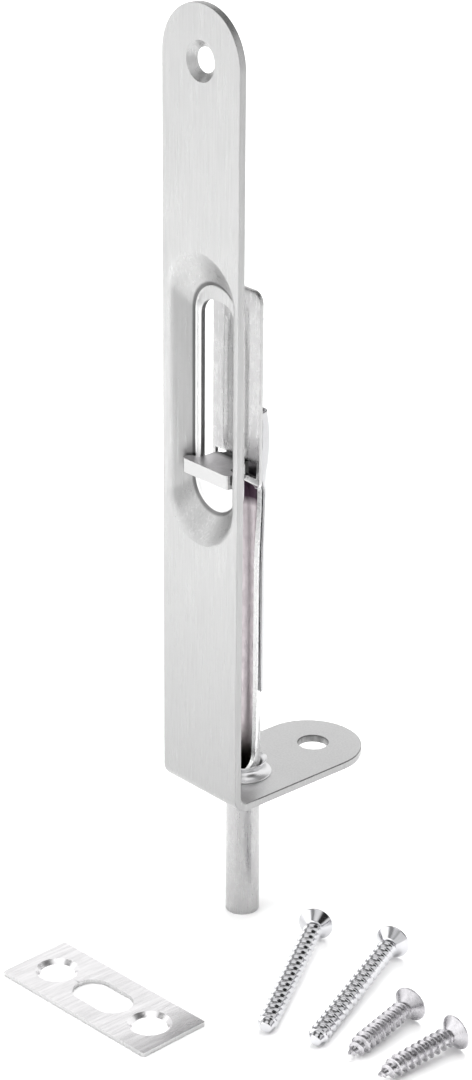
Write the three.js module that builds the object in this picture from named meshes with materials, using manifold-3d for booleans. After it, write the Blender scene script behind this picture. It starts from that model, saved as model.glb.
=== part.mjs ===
// Flush bolt for the edge of a door, with its strike plate and four screws.
// Millimetres, +Z up. The bolt slides along Z and is drawn thrown, with its rod 27.7 mm below the foot.
// The origin is on the back face of the face plate, on the centre line, 30 mm below the plate's top.
import * as THREE from 'three';
import { mergeVertices } from 'three/addons/utils/BufferGeometryUtils.js';
import Module from 'manifold-3d';

const wasm = await Module();
wasm.setup();

// ---- driving dimensions ----
const PLATE_WIDTH = 20;
const PLATE_HEIGHT = 150;
const SHEET = 1.5;
const BEND_OUTER = 3.2;
const BEND_INNER = BEND_OUTER - SHEET;
const FOOT_LENGTH = 37.9;
const SEAT_HEIGHT = 120;

const TOP_HOLE_Z = 140;
const TOP_HOLE_RADIUS = 2.25;
const TOP_SINK_RADIUS = 3.65;
const FOOT_HOLE_Y = 28.9;
const FOOT_HOLE_RADIUS = 2.9;

// Rings of the dish around the slot, each with its radius, its lower and upper centre, and its depth.
const DISH_DEPTH = 4.1;
const DISH_SHEET = 1.1;
const DISH_FLOOR = { r: 5.6, low: 62.4, high: 93.3, y: DISH_DEPTH };
const DISH_LIP = { r: 8.1, low: 59.9, high: 97.3, y: 0.45 };
const DISH_RIM = { r: 9.7, low: 60.9, high: 96.5, y: 0 };
const DISH_BACK = [
  { r: 5.9, low: 62.4, high: 93.3, y: DISH_DEPTH + DISH_SHEET },
  { r: 6.5, low: 62.2, high: 93.8, y: 4.75 },
  { r: 8.5, low: 60.4, high: 96.6, y: 2.0 },
  { r: 9.3, low: 60.2, high: 97.0, y: 1.2 },
];

const SLOT_HALF_WIDTH = 4.4;
const SLOT_BOTTOM = 61.9;
const SLOT_TOP = 96.3;
const SLOT_LOW_CORNER = 1.1;
const SLOT_TOP_CORNER = 3.4;

const ROD_Y = 11;
const ROD_RADIUS = 3.2;
const ROD_BORE = 2.2;
const ROD_TIP_Z = -27.7;
const TUBE_TOP_Z = 30;

const BUSH_BORE = 3.3;
const BUSH_SHANK = 3.85;
const BUSH_HOLE = 3.9;
const BUSH_SEAT_Z = SHEET + 0.03;
// Radius and height of the eyelet above the foot: a flange, a waist and a flared rim.
const BUSH_OUTSIDE = [[5.3, BUSH_SEAT_Z], [5.3, 1.85], [4.6, 2.05], [4.0, 2.7], [3.85, 3.3], [4.4, 4.1],
  [4.3, 4.35], [3.65, 4.25], [BUSH_BORE, 3.9]];

// The tube's mouth is scooped away at the front, in depth and height.
const MOUTH = { edge: [7.8, 2.0], bend: [10.8, 2.6], high: [11.1, 6.5], open: 11.3, straight: 14 };

const BLADE_HALF_WIDTH = 6.3;
const BLADE_FRONT_Y = 8.6;
const BLADE_SHEET = 0.75;
const BLADE_TOP_Z = 98.4;
const BLADE_CORNER = 2.2;
const GROOVE_DEPTH = 0.35;
const GROOVE_HALF_WIDTH = 3.4;
const GROOVE_SPAN = { low: 66, high: 98, fadeIn: 2, fadeOut: 3 };
const WINDOW = { halfWidth: 5.5, low: 63.25, high: 66.2 };

// The half tube above the rod widens a little, then opens out and steps forward into the flat blade.
const CHANNEL_HEIGHT = { widens: 44, widest: 59.5, opens: 59.6, flat: 62.3 };
const CHANNEL_RADIUS = { low: 2.7, high: 3.5 };
const CHANNEL_WIDTH = { low: 7.8, high: 8.6 };

const TAB_LOW_Z = 63.3;
const TAB_HIGH_Z = 65.95;
const TAB_FRONT_Y = 1.05;
const TAB_HALF_WIDTH = 6.1;
const TAB_CORNER = 0.5;
const TAB_SIDE_Y = 2.3;
const TAB_CHAMFER = { width: 0.6, y: 3.1 };
const TAB_NECK = { half: 4.1, from: 3.7, to: 6.6 };
const TAB_TENON = { half: 2.9, from: 8.3, to: 9.1 };

// The spring is a channel itself: a back, two rounded corners and two short sides.
const SPRING_SHEET = 0.45;
const SPRING_GAP = 0.1;
const SPRING_BACK_HALF = 2.6;
const SPRING_CORNER = 0.8;
const SPRING_SIDE = { low: 0.64, middle: 1.3, top: 0.8 };
const SPRING_FOOT_Z = 19;
// Depth and height of the spring's back where it bows away from the bolt.
const SPRING_BOW = [[13.95, 61.1], [13.5, 63], [13.7, 65.5], [13.9, 68.5], [13.75, 71.5], [13.17, 74.8]];

const STRIKE = { length: 38, width: 15.1, sheet: 0.9, x: 8.4, y: -30.45, turn: 2.5 };
const STRIKE_HOLE_PITCH = 25;
const STRIKE_SINK_RADIUS = 4.05;
const STRIKE_HOLE_RADIUS = 3.2;
const STRIKE_SLOT_RADIUS = 3.7;
const STRIKE_SLOT_REACH = 2.75;

const SCREW_HEAD_RADIUS = 3.3;
const SCREW_HEAD_DEPTH = 1.9;
const SCREW_RECESS = { reach: 1.7, half: 0.32, depth: 1.3 };
const LONG_SCREW = { length: 35.2, crest: 1.85, root: 1.4, pitch: 1.8, tip: 0.8, tipRadius: 1.25 };
const SHORT_SCREW = { length: 18.7, crest: 1.95, root: 1.25, pitch: 1.5, tip: 4.6, tipRadius: 0.18 };

const ARC = 10;
const ROUND = 32;
const SCREW_ROUND = 12;
const BLADE_ACROSS = 14;
const SPRING_ACROSS = 18;
// Cutting bodies reach this far past what they cut.
const PAST = 2;

// ---- small helpers ----
function mix(a, b, t) {
  return a + (b - a) * t;
}

function smooth(t) {
  const c = Math.min(1, Math.max(0, t));
  return c * c * (3 - 2 * c);
}

function toSolid(geometry) {
  const bare = geometry.clone();
  bare.deleteAttribute('normal');
  bare.deleteAttribute('uv');
  const merged = mergeVertices(bare, 1e-4);
  return new wasm.Manifold(new wasm.Mesh({
    numProp: 3,
    vertProperties: new Float32Array(merged.attributes.position.array),
    triVerts: new Uint32Array(merged.index.array),
  }));
}

function toGeometry(solid) {
  const data = solid.getMesh();
  const geometry = new THREE.BufferGeometry();
  geometry.setAttribute('position', new THREE.BufferAttribute(new Float32Array(data.vertProperties), 3));
  geometry.setIndex(new THREE.BufferAttribute(new Uint32Array(data.triVerts), 1));
  geometry.computeVertexNormals();
  return geometry;
}

// A shape drawn in X and Z, given thickness from y0 to y1.
function alongY(shape, y0, y1) {
  const geometry = new THREE.ExtrudeGeometry(shape, {
    depth: y1 - y0, bevelEnabled: false, curveSegments: ARC,
  });
  geometry.rotateX(Math.PI / 2);
  geometry.translate(0, y1, 0);
  return geometry;
}

// A shape drawn in Y and Z, given width from x0 to x1.
function alongX(shape, x0, x1) {
  const geometry = new THREE.ExtrudeGeometry(shape, {
    depth: x1 - x0, bevelEnabled: false, curveSegments: ARC,
  });
  geometry.applyMatrix4(new THREE.Matrix4().makeBasis(
    new THREE.Vector3(0, 1, 0), new THREE.Vector3(0, 0, 1), new THREE.Vector3(1, 0, 0),
  ));
  geometry.translate(x0, 0, 0);
  return geometry;
}

// A shape drawn in X and Y, given height from z0 to z1.
function alongZ(shape, z0, z1) {
  const geometry = new THREE.ExtrudeGeometry(shape, {
    depth: z1 - z0, bevelEnabled: false, curveSegments: ARC,
  });
  geometry.translate(0, 0, z0);
  return geometry;
}

function block(x0, x1, y0, y1, z0, z1) {
  const geometry = new THREE.BoxGeometry(x1 - x0, y1 - y0, z1 - z0);
  geometry.translate((x0 + x1) / 2, (y0 + y1) / 2, (z0 + z1) / 2);
  return geometry;
}

// A turned body: the profile is a list of radius and height pairs, and the axis is Z.
function turned(profile, segments = ROUND) {
  const geometry = new THREE.LatheGeometry(profile.map(([r, z]) => new THREE.Vector2(r, z)), segments);
  geometry.rotateX(Math.PI / 2);
  return geometry;
}

function stadium(r, low, high) {
  const shape = new THREE.Shape();
  shape.absarc(0, high, r, 0, Math.PI, false);
  shape.absarc(0, low, r, Math.PI, 2 * Math.PI, false);
  shape.closePath();
  return shape;
}

// A body whose outline is a stadium that changes from ring to ring. The rings run from back to front.
function loftedStadium(rings) {
  const base = rings[0];
  const geometry = new THREE.ExtrudeGeometry(stadium(base.r, base.low, base.high), {
    depth: rings.length - 1, steps: rings.length - 1, bevelEnabled: false, curveSegments: ARC,
  });
  const position = geometry.attributes.position;
  for (let i = 0; i < position.count; i += 1) {
    const ring = rings[Math.round(position.getZ(i))];
    const x = position.getX(i);
    const z = position.getY(i);
    const centre = Math.min(base.high, Math.max(base.low, z));
    const share = (centre - base.low) / (base.high - base.low);
    const scale = ring.r / base.r;
    position.setXYZ(i, x * scale, ring.y, mix(ring.low, ring.high, share) + (z - centre) * scale);
  }
  return geometry;
}

// ---- face plate with its foot: one sheet, bent once and pressed in around the finger slot ----
function slotShape() {
  const shape = new THREE.Shape();
  const low = SLOT_LOW_CORNER;
  const top = SLOT_TOP_CORNER;
  const half = SLOT_HALF_WIDTH;
  shape.absarc(half - top, SLOT_TOP - top, top, 0, Math.PI / 2, false);
  shape.absarc(top - half, SLOT_TOP - top, top, Math.PI / 2, Math.PI, false);
  shape.absarc(low - half, SLOT_BOTTOM + low, low, Math.PI, 1.5 * Math.PI, false);
  shape.absarc(half - low, SLOT_BOTTOM + low, low, 1.5 * Math.PI, 2 * Math.PI, false);
  shape.closePath();
  return shape;
}

function makeFacePlate() {
  const half = PLATE_WIDTH / 2;
  const side = new THREE.Shape();
  side.moveTo(0, PLATE_HEIGHT);
  side.lineTo(0, BEND_OUTER);
  side.absarc(BEND_OUTER, BEND_OUTER, BEND_OUTER, Math.PI, 1.5 * Math.PI, false);
  side.lineTo(FOOT_LENGTH, 0);
  side.lineTo(FOOT_LENGTH, SHEET);
  side.absarc(BEND_OUTER, BEND_OUTER, BEND_INNER, 1.5 * Math.PI, Math.PI, true);
  side.lineTo(SHEET, PLATE_HEIGHT);
  side.closePath();

  const front = new THREE.Shape();
  front.moveTo(-half, -PAST);
  front.lineTo(half, -PAST);
  front.absarc(0, PLATE_HEIGHT - half, half, 0, Math.PI, false);
  front.closePath();

  const plan = new THREE.Shape();
  plan.moveTo(-half, ROD_Y);
  plan.lineTo(half, ROD_Y);
  plan.absarc(0, FOOT_LENGTH - half, half, 0, Math.PI, false);
  plan.closePath();

  const outline = toSolid(alongY(front, -PAST, FOOT_LENGTH - half))
    .add(toSolid(alongZ(plan, -PAST, BEND_OUTER + PAST)));
  let plate = toSolid(alongX(side, -half - PAST, half + PAST)).intersect(outline);

  plate = plate.add(toSolid(loftedStadium(DISH_BACK)));
  const mouth = { ...DISH_RIM, y: -PAST };
  const pocket = [DISH_FLOOR, DISH_LIP, DISH_RIM, mouth];
  plate = plate.subtract(toSolid(loftedStadium(pocket)));
  plate = plate.subtract(toSolid(alongY(slotShape(), DISH_DEPTH - DISH_SHEET, DISH_DEPTH + PAST)));

  const sink = turned([[0, -PAST], [TOP_HOLE_RADIUS, -PAST], [TOP_HOLE_RADIUS, 0.1],
    [TOP_SINK_RADIUS, SHEET], [TOP_SINK_RADIUS, SHEET + PAST], [0, SHEET + PAST]]);
  sink.rotateX(Math.PI / 2);
  sink.translate(0, SHEET, TOP_HOLE_Z);
  plate = plate.subtract(toSolid(sink));

  for (const [radius, y] of [[FOOT_HOLE_RADIUS, FOOT_HOLE_Y], [BUSH_HOLE, ROD_Y]]) {
    const hole = turned([[0, -PAST], [radius, -PAST], [radius, SHEET + PAST], [0, SHEET + PAST]]);
    hole.translate(0, y, 0);
    plate = plate.subtract(toSolid(hole));
  }
  return toGeometry(plate);
}

// ---- guide bush: a flanged eyelet in the foot that the rod runs through ----
function makeGuideBush() {
  const bush = turned([
    [BUSH_BORE, 0], [BUSH_SHANK, 0], [BUSH_SHANK, BUSH_SEAT_Z], ...BUSH_OUTSIDE, [BUSH_BORE, 0],
  ]);
  bush.translate(0, ROD_Y, 0);
  return bush;
}

// A point of a bent strip's cross-section. The pieces run outwards from its middle, each a length with
// the curvature it is bent to; lift is the distance from the middle of the sheet towards its back.
function sectionPoint(run, lift, pieces) {
  let x = 0;
  let back = 0;
  let turn = 0;
  let left = Math.abs(run);
  for (const [length, curvature] of pieces) {
    const step = Math.min(left, length);
    const bend = step * curvature;
    if (Math.abs(bend) > 1e-6) {
      x += (Math.sin(turn + bend) - Math.sin(turn)) / curvature;
      back -= (Math.cos(turn) - Math.cos(turn + bend)) / curvature;
    } else {
      x += step * Math.cos(turn);
      back -= step * Math.sin(turn);
    }
    turn += bend;
    left -= step;
  }
  return [Math.sign(run) * (x + lift * Math.sin(turn)), back + lift * Math.cos(turn)];
}

// A flat strip bent to shape: each station gives its place, its cross-section and its thickness.
function formedStrip(stations, across) {
  const last = stations.length - 1;
  const geometry = new THREE.BoxGeometry(1, 1, 1, across, 1, last);
  const position = geometry.attributes.position;
  for (let i = 0; i < position.count; i += 1) {
    const station = stations[Math.round((position.getZ(i) + 0.5) * last)];
    const half = station.pieces.reduce((sum, [length]) => sum + length, 0);
    const lift = position.getY(i) * station.sheet;
    const [x, bend] = sectionPoint(position.getX(i) * 2 * half, lift, station.pieces);
    const back = bend + station.groove * smooth(GROOVE_HALF_WIDTH - Math.abs(x));
    position.setXYZ(i, x, station.y + back * station.ny, station.z + back * station.nz);
  }
  return geometry;
}

function heights(from, to, count) {
  return Array.from({ length: count }, (_, i) => mix(from, to, (i + 1) / count));
}

function channelShare(z) {
  return smooth((z - CHANNEL_HEIGHT.widens) / (CHANNEL_HEIGHT.widest - CHANNEL_HEIGHT.widens));
}

// The channel between rod and blade at a height: its middle radius, its thickness, where its back is in
// depth, and how far it has opened out into the blade.
function channelAt(z) {
  const opening = smooth((z - CHANNEL_HEIGHT.opens) / (CHANNEL_HEIGHT.flat - CHANNEL_HEIGHT.opens));
  const sheet = mix(ROD_RADIUS - ROD_BORE, BLADE_SHEET, channelShare(z));
  return {
    opening,
    sheet,
    radius: mix(CHANNEL_RADIUS.low, CHANNEL_RADIUS.high, channelShare(z)),
    back: mix(ROD_Y + CHANNEL_RADIUS.low + sheet / 2, BLADE_FRONT_Y + sheet, opening),
  };
}

// ---- bolt: one sheet, rolled into the rod below, open as a half tube above it, flat at the top ----
function makeBoltBar() {
  const tube = turned([
    [ROD_BORE, -27.45], [2.4, ROD_TIP_Z], [2.8, ROD_TIP_Z], [3.1, -27.5], [ROD_RADIUS, -27.1],
    [ROD_RADIUS, TUBE_TOP_Z], [ROD_BORE, TUBE_TOP_Z], [ROD_BORE, -27.45],
  ]);
  tube.translate(0, ROD_Y, 0);

  const front = ROD_Y - ROD_RADIUS - PAST;
  const cut = new THREE.Shape();
  cut.moveTo(front, MOUTH.edge[1]);
  cut.lineTo(...MOUTH.edge);
  cut.quadraticCurveTo(...MOUTH.bend, ...MOUTH.high);
  cut.lineTo(MOUTH.open, MOUTH.straight);
  cut.lineTo(MOUTH.open, TUBE_TOP_Z + PAST);
  cut.lineTo(front, TUBE_TOP_Z + PAST);
  cut.closePath();

  const { widens, widest, flat } = CHANNEL_HEIGHT;
  const fadeIn = GROOVE_SPAN.low + GROOVE_SPAN.fadeIn;
  const fadeOut = GROOVE_SPAN.high - GROOVE_SPAN.fadeOut;
  const levels = [TUBE_TOP_Z - PAST, widens, ...heights(widens, widest, 4), ...heights(widest, flat, 9),
    ...heights(flat, fadeIn, 3), fadeOut, ...heights(fadeOut, BLADE_TOP_Z, 3)];
  const stations = levels.map((z) => {
    const { radius, sheet, back, opening } = channelAt(z);
    const width = mix(CHANNEL_WIDTH.low, CHANNEL_WIDTH.high, channelShare(z));
    return {
      z,
      y: back - sheet / 2,
      pieces: [[mix(width, 2 * BLADE_HALF_WIDTH, opening) / 2, (1 - opening) / radius]],
      sheet,
      groove: GROOVE_DEPTH * smooth((z - GROOVE_SPAN.low) / GROOVE_SPAN.fadeIn)
        * smooth((GROOVE_SPAN.high - z) / GROOVE_SPAN.fadeOut),
      ny: 1,
      nz: 0,
    };
  });

  const half = BLADE_HALF_WIDTH;
  const blank = new THREE.Shape();
  blank.moveTo(-half, 0);
  blank.lineTo(half, 0);
  blank.absarc(half - BLADE_CORNER, BLADE_TOP_Z - BLADE_CORNER, BLADE_CORNER, 0, Math.PI / 2, false);
  blank.absarc(BLADE_CORNER - half, BLADE_TOP_Z - BLADE_CORNER, BLADE_CORNER, Math.PI / 2, Math.PI, false);
  blank.closePath();

  const blade = toSolid(formedStrip(stations, BLADE_ACROSS))
    .intersect(toSolid(alongY(blank, BLADE_FRONT_Y - PAST, ROD_Y + ROD_RADIUS + PAST)));
  const reach = ROD_RADIUS + PAST;
  const body = toSolid(tube).subtract(toSolid(alongX(cut, -reach, reach))).add(blade);
  const window = block(-WINDOW.halfWidth, WINDOW.halfWidth, BLADE_FRONT_Y - PAST,
    BLADE_FRONT_Y + BLADE_SHEET + PAST, WINDOW.low, WINDOW.high);
  return toGeometry(body.subtract(toSolid(window)));
}

// ---- thumb tab: a thick piece that passes through the slot and is set in the blade's window ----
function makeThumbTab() {
  const half = TAB_HALF_WIDTH;
  const inset = half - TAB_CORNER;
  const step = half - TAB_CHAMFER.width;
  const { half: neck, from, to } = TAB_NECK;
  const shape = new THREE.Shape();
  shape.moveTo(-inset, TAB_FRONT_Y);
  shape.lineTo(inset, TAB_FRONT_Y);
  shape.quadraticCurveTo(half, TAB_FRONT_Y, half, TAB_FRONT_Y + TAB_CORNER);
  shape.lineTo(half, TAB_SIDE_Y);
  shape.lineTo(step, TAB_CHAMFER.y);
  shape.lineTo(neck, from);
  shape.lineTo(neck, to);
  shape.quadraticCurveTo(neck, TAB_TENON.from, TAB_TENON.half, TAB_TENON.from);
  shape.lineTo(TAB_TENON.half, TAB_TENON.to);
  shape.lineTo(-TAB_TENON.half, TAB_TENON.to);
  shape.lineTo(-TAB_TENON.half, TAB_TENON.from);
  shape.quadraticCurveTo(-neck, TAB_TENON.from, -neck, to);
  shape.lineTo(-neck, from);
  shape.lineTo(-step, TAB_CHAMFER.y);
  shape.lineTo(-half, TAB_SIDE_Y);
  shape.lineTo(-half, TAB_FRONT_Y + TAB_CORNER);
  shape.quadraticCurveTo(-half, TAB_FRONT_Y, -inset, TAB_FRONT_Y);
  return alongZ(shape, TAB_LOW_Z, TAB_HIGH_Z);
}

// ---- leaf spring: hugs the back of the half tube, then bows out behind the blade ----
function makeLeafSpring() {
  const onChannel = (z) => channelAt(z).back + SPRING_GAP + SPRING_SHEET / 2;
  const { widens, widest, opens } = CHANNEL_HEIGHT;
  const contact = [widest - 2, widest].map((z) => [onChannel(z), z]);
  const path = [...contact, ...SPRING_BOW].map(([y, z]) => new THREE.Vector3(0, y, z));
  const bow = new THREE.CatmullRomCurve3(path, false, 'catmullrom', 0.5);
  const top = path[path.length - 1].z;
  const straight = [SPRING_FOOT_Z, widens, widens + 6, widest - 6];
  const places = straight.map((z) => new THREE.Vector3(0, onChannel(z), z));
  places.push(...bow.getPoints(2 * (path.length - 1)));
  const stations = places.map((place, i) => {
    const before = places[Math.max(0, i - 1)];
    const after = places[Math.min(places.length - 1, i + 1)];
    const along = after.clone().sub(before).normalize();
    const around = channelAt(Math.min(place.z, widest));
    const hug = 1 / (around.radius + around.sheet / 2 + SPRING_GAP + SPRING_SHEET / 2);
    const free = smooth((place.z - opens) / 5);
    const narrowing = smooth((place.z - top) / 5 + 1);
    const side = mix(mix(SPRING_SIDE.low, SPRING_SIDE.middle, free), SPRING_SIDE.top, narrowing);
    return {
      z: place.z,
      y: place.y,
      pieces: [
        [SPRING_BACK_HALF, mix(hug, 0, free)],
        [SPRING_CORNER * (Math.PI / 2), mix(hug, 1 / SPRING_CORNER, free)],
        [side, mix(hug, 0, free)],
      ],
      sheet: SPRING_SHEET,
      groove: 0,
      ny: along.z,
      nz: -along.y,
    };
  });
  return formedStrip(stations, SPRING_ACROSS);
}

// ---- strike plate: countersunk at both ends, with a slot for the rod ----
function makeStrikePlate() {
  const shape = new THREE.Shape();
  const x = STRIKE.length / 2;
  const y = STRIKE.width / 2;
  shape.moveTo(-x, -y);
  shape.lineTo(x, -y);
  shape.lineTo(x, y);
  shape.lineTo(-x, y);
  shape.closePath();
  const slot = new THREE.Path();
  slot.absarc(STRIKE_SLOT_REACH, 0, STRIKE_SLOT_RADIUS, -Math.PI / 2, Math.PI / 2, false);
  slot.absarc(-STRIKE_SLOT_REACH, 0, STRIKE_SLOT_RADIUS, Math.PI / 2, 1.5 * Math.PI, false);
  slot.closePath();
  shape.holes.push(slot);
  let plate = toSolid(alongZ(shape, 0, STRIKE.sheet));
  for (const side of [-1, 1]) {
    const sink = turned([[0, -PAST], [STRIKE_HOLE_RADIUS, -PAST], [STRIKE_HOLE_RADIUS, 0.05],
      [STRIKE_SINK_RADIUS, STRIKE.sheet], [STRIKE_SINK_RADIUS, PAST], [0, PAST]]);
    sink.translate((side * STRIKE_HOLE_PITCH) / 2, 0, 0);
    plate = plate.subtract(toSolid(sink));
  }
  return toGeometry(plate);
}

// ---- countersunk screw: top of the head at the origin, point towards -Z, thread drawn as rings ----
function makeScrew({ length, crest, root, pitch, tip, tipRadius }) {
  const neck = SCREW_HEAD_DEPTH;
  const profile = [[0, 0], [SCREW_HEAD_RADIUS - 0.1, 0], [SCREW_HEAD_RADIUS, -0.25],
    [crest, -neck], [root, -neck - 0.35]];
  const turns = Math.floor((length - neck - 0.9) / pitch);
  for (let i = 0; i < turns; i += 1) {
    for (const [share, radius] of [[0.35, root], [0.7, crest]]) {
      const depth = neck + 0.5 + (i + share) * pitch;
      const left = Math.sqrt(Math.min(1, Math.max(0, (length - depth) / tip)));
      profile.push([mix(tipRadius, radius, left), -depth]);
    }
  }
  profile.push([tipRadius, 0.05 - length], [0, -length]);
  const body = toSolid(turned(profile.reverse(), SCREW_ROUND));
  const { reach, half, depth } = SCREW_RECESS;
  const recess = toSolid(block(-reach, reach, -half, half, -depth, PAST))
    .add(toSolid(block(-half, half, -reach, reach, -depth, PAST)));
  return toGeometry(body.subtract(recess));
}

// A screw lying on the floor: the head rim and the thread both touch it.
function layScrew(mesh, kind, [x, y], degrees) {
  const heading = THREE.MathUtils.degToRad(degrees);
  const tilt = Math.atan2(SCREW_HEAD_RADIUS - kind.crest, kind.length - SCREW_HEAD_DEPTH);
  mesh.position.set(x, y, ROD_TIP_Z + SCREW_HEAD_RADIUS * Math.cos(tilt) + 0.02);
  const down = new THREE.Vector3(
    Math.cos(heading) * Math.cos(tilt), Math.sin(heading) * Math.cos(tilt), -Math.sin(tilt),
  );
  mesh.quaternion.setFromUnitVectors(new THREE.Vector3(0, 0, -1), down);
}

// ---- assembly ----
function addPiece(group, name, geometry, color, roughness) {
  const material = new THREE.MeshStandardMaterial({ color, roughness, metalness: 1 });
  const mesh = new THREE.Mesh(geometry, material);
  mesh.name = name;
  group.add(mesh);
  return mesh;
}

const assembly = new THREE.Group();
addPiece(assembly, 'face_plate', makeFacePlate(), 0xc9c9c8, 0.34);
addPiece(assembly, 'guide_bush', makeGuideBush(), 0xd2d2d4, 0.22);
addPiece(assembly, 'bolt_bar', makeBoltBar(), 0xc4c6c4, 0.32);
addPiece(assembly, 'thumb_tab', makeThumbTab(), 0xcfcfd0, 0.2);
addPiece(assembly, 'leaf_spring', makeLeafSpring(), 0xcacacc, 0.24);

const strike = addPiece(assembly, 'strike_plate', makeStrikePlate(), 0xd6d6d4, 0.2);
strike.position.set(STRIKE.x, STRIKE.y, ROD_TIP_Z);
strike.rotation.z = THREE.MathUtils.degToRad(STRIKE.turn);

// Where each screw's head lies, and which way its point turns from +X towards +Y.
const screws = [
  { name: 'long_screw_1', kind: LONG_SCREW, head: [18.0, 13.5], degrees: -58.0 },
  { name: 'long_screw_2', kind: LONG_SCREW, head: [32.1, 19.9], degrees: -67.6 },
  { name: 'short_screw_1', kind: SHORT_SCREW, head: [49.7, 7.2], degrees: -80.7 },
  { name: 'short_screw_2', kind: SHORT_SCREW, head: [61.7, 6.7], degrees: -92.1 },
];
for (const { name, kind, head, degrees } of screws) {
  layScrew(addPiece(assembly, name, makeScrew(kind), 0xdadadc, 0.15), kind, head, degrees);
}

assembly.position.set(0, -SHEET, -SEAT_HEIGHT);

const flushBolt = new THREE.Group();
flushBolt.add(assembly);

export default flushBolt;
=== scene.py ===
"""The looks of a flush bolt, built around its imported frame.

Blender's units are metres. Sizes of pieces are in millimetres, measured from the face plate's
front face (y), the underside of its foot (z) and its centre line (x). PLACEMENT puts them in the frame.
The strike plate and each screw are made in a frame of their own and then turned into place.
"""

import math

import bmesh
import bpy
import numpy as np
from mathutils import Matrix, Vector


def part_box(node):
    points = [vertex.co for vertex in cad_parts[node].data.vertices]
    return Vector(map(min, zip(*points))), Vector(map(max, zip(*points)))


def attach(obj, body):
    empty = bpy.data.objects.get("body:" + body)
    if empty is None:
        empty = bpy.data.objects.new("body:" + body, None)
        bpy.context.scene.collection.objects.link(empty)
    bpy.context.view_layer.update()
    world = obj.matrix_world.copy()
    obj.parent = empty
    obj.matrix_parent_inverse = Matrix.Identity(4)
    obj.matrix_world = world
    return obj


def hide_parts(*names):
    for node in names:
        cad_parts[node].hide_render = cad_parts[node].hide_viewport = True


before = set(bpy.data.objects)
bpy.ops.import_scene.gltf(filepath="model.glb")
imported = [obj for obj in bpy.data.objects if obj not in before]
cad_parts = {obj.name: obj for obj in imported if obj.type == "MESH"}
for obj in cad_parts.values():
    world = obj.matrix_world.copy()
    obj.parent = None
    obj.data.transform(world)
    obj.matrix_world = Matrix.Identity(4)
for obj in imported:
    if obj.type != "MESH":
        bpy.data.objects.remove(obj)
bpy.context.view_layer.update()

MM = 0.001
SHEET = 1.5
plate_low, plate_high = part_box("face_plate")
PLACEMENT = Matrix.Translation((0.0, plate_low.y, plate_low.z)) @ Matrix.Scale(MM, 4)

# ---- driving sizes, in millimetres ----
PLATE_HALF = plate_high.x / MM
PLATE_TOP = (plate_high.z - plate_low.z) / MM
FOOT_END = (plate_high.y - plate_low.y) / MM
BEND_RADIUS = 3.2
TOP_HOLE = {"z": 140.0, "sink": 3.65, "bore": 2.25, "sink_depth": 1.36}
FOOT_HOLE = {"y": 28.9, "radius": 2.9}
BUSH_HOLE_RADIUS = 3.9
HOLE_STEPS = 64

DISH_DEPTH = 4.1
DISH_SHEET = 1.1
DISH_BACK_DEPTH = DISH_DEPTH + DISH_SHEET
# Rings round the slot: radius, lower centre, upper centre and depth.
DISH_FRONT = [
    (5.2, 62.4, 93.3, DISH_DEPTH), (5.6, 62.4, 93.3, DISH_DEPTH), (8.1, 59.9, 97.3, 0.45),
    (9.75, 60.9, 96.5, 0.0),
]
DISH_BACK = [
    (5.2, 62.4, 93.3, DISH_BACK_DEPTH), (6.3, 62.4, 93.3, DISH_BACK_DEPTH), (9.0, 60.2, 97.0, SHEET),
    (9.8, 60.8, 96.6, SHEET),
]
# How much of the legs before and after each inner ring its rounding takes up.
DISH_FRONT_CUTS = [(0.5, 0.05), (0.14, 0.5)]
DISH_BACK_CUTS = [(0.8, 0.2), (0.15, 0.9)]
SLOT_HALF = 4.4
SLOT_LOW, SLOT_LOW_CORNER = 61.9, 1.1
SLOT_HIGH, SLOT_HIGH_CORNER = 96.3, 3.4

ROD_Y = 11.0
ROD_RADIUS = 3.2
ROD_BORE = 2.2
ROD_MIDDLE = (ROD_RADIUS + ROD_BORE) / 2
ROD_TIP = -27.7
BLADE_HALF = 6.25
BLADE_FRONT = 8.6
BLADE_SHEET = 0.75
BLADE_TOP = 98.4
BLADE_CORNER = 2.2
BLADE_NARROWS = 95.0
# The groove pressed in the blade starts above the window, and its end is an arc from GROOVE_ROUNDS up.
GROOVE_HALF, GROOVE_DEPTH, GROOVE_EDGE = 3.4, 0.35, 0.9
GROOVE_START, GROOVE_RUN_IN, GROOVE_ROUNDS = 66.6, 2.0, 86.0
WINDOW = {"half": 5.5, "low": 63.25, "high": 66.2}

# Above the rod the front of the tube is scooped away, which leaves a half tube open to the front.
MOUTH_LOW, MOUTH_HIGH = 2.2, 6.5
MOUTH = {"front": 11.1, "curve": 2.2, "deeper": 0.2, "deeper_over": 7.5}

# The half tube widens a little, then opens out and steps forward into the flat blade.
CHANNEL = {"widens": 44.0, "widest": 59.5, "opens": 59.6, "flat": 62.3}
CHANNEL_RADIUS = (2.7, 3.5)
CHANNEL_RUN = 8.6

TAB_LOW, TAB_HIGH = 63.3, 65.95
TAB_FRONT, TAB_HALF, TAB_CORNER = 1.05, 6.1, 0.8
TAB_SIDE_BACK, TAB_BEVEL, TAB_WING_BACK = 2.3, 0.6, 3.1
# The neck passes through the slot, and the tenon behind it sits in the blade's window.
TAB_NECK = {"half": 4.1, "front": 3.7, "back": 6.6, "corner": 1.7}
TAB_TENON = {"half": 2.9, "front": 8.3, "back": 9.1}

# The spring is a channel itself: a back, two rounded corners and two short sides.
SPRING_SHEET, SPRING_GAP = 0.45, 0.1
SPRING_BACK_HALF, SPRING_CORNER = 2.6, 0.8
SPRING_SIDES = {"low": 0.64, "middle": 1.3, "top": 0.8}
SPRING_FOOT = 19.0
SPRING_OPENS = 5.0
# Depth and height of points along the bowed part.
SPRING_BOW = [(13.95, 61.1), (13.5, 63.0), (13.7, 65.5), (13.9, 68.5), (13.75, 71.5), (13.17, 74.75)]

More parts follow.
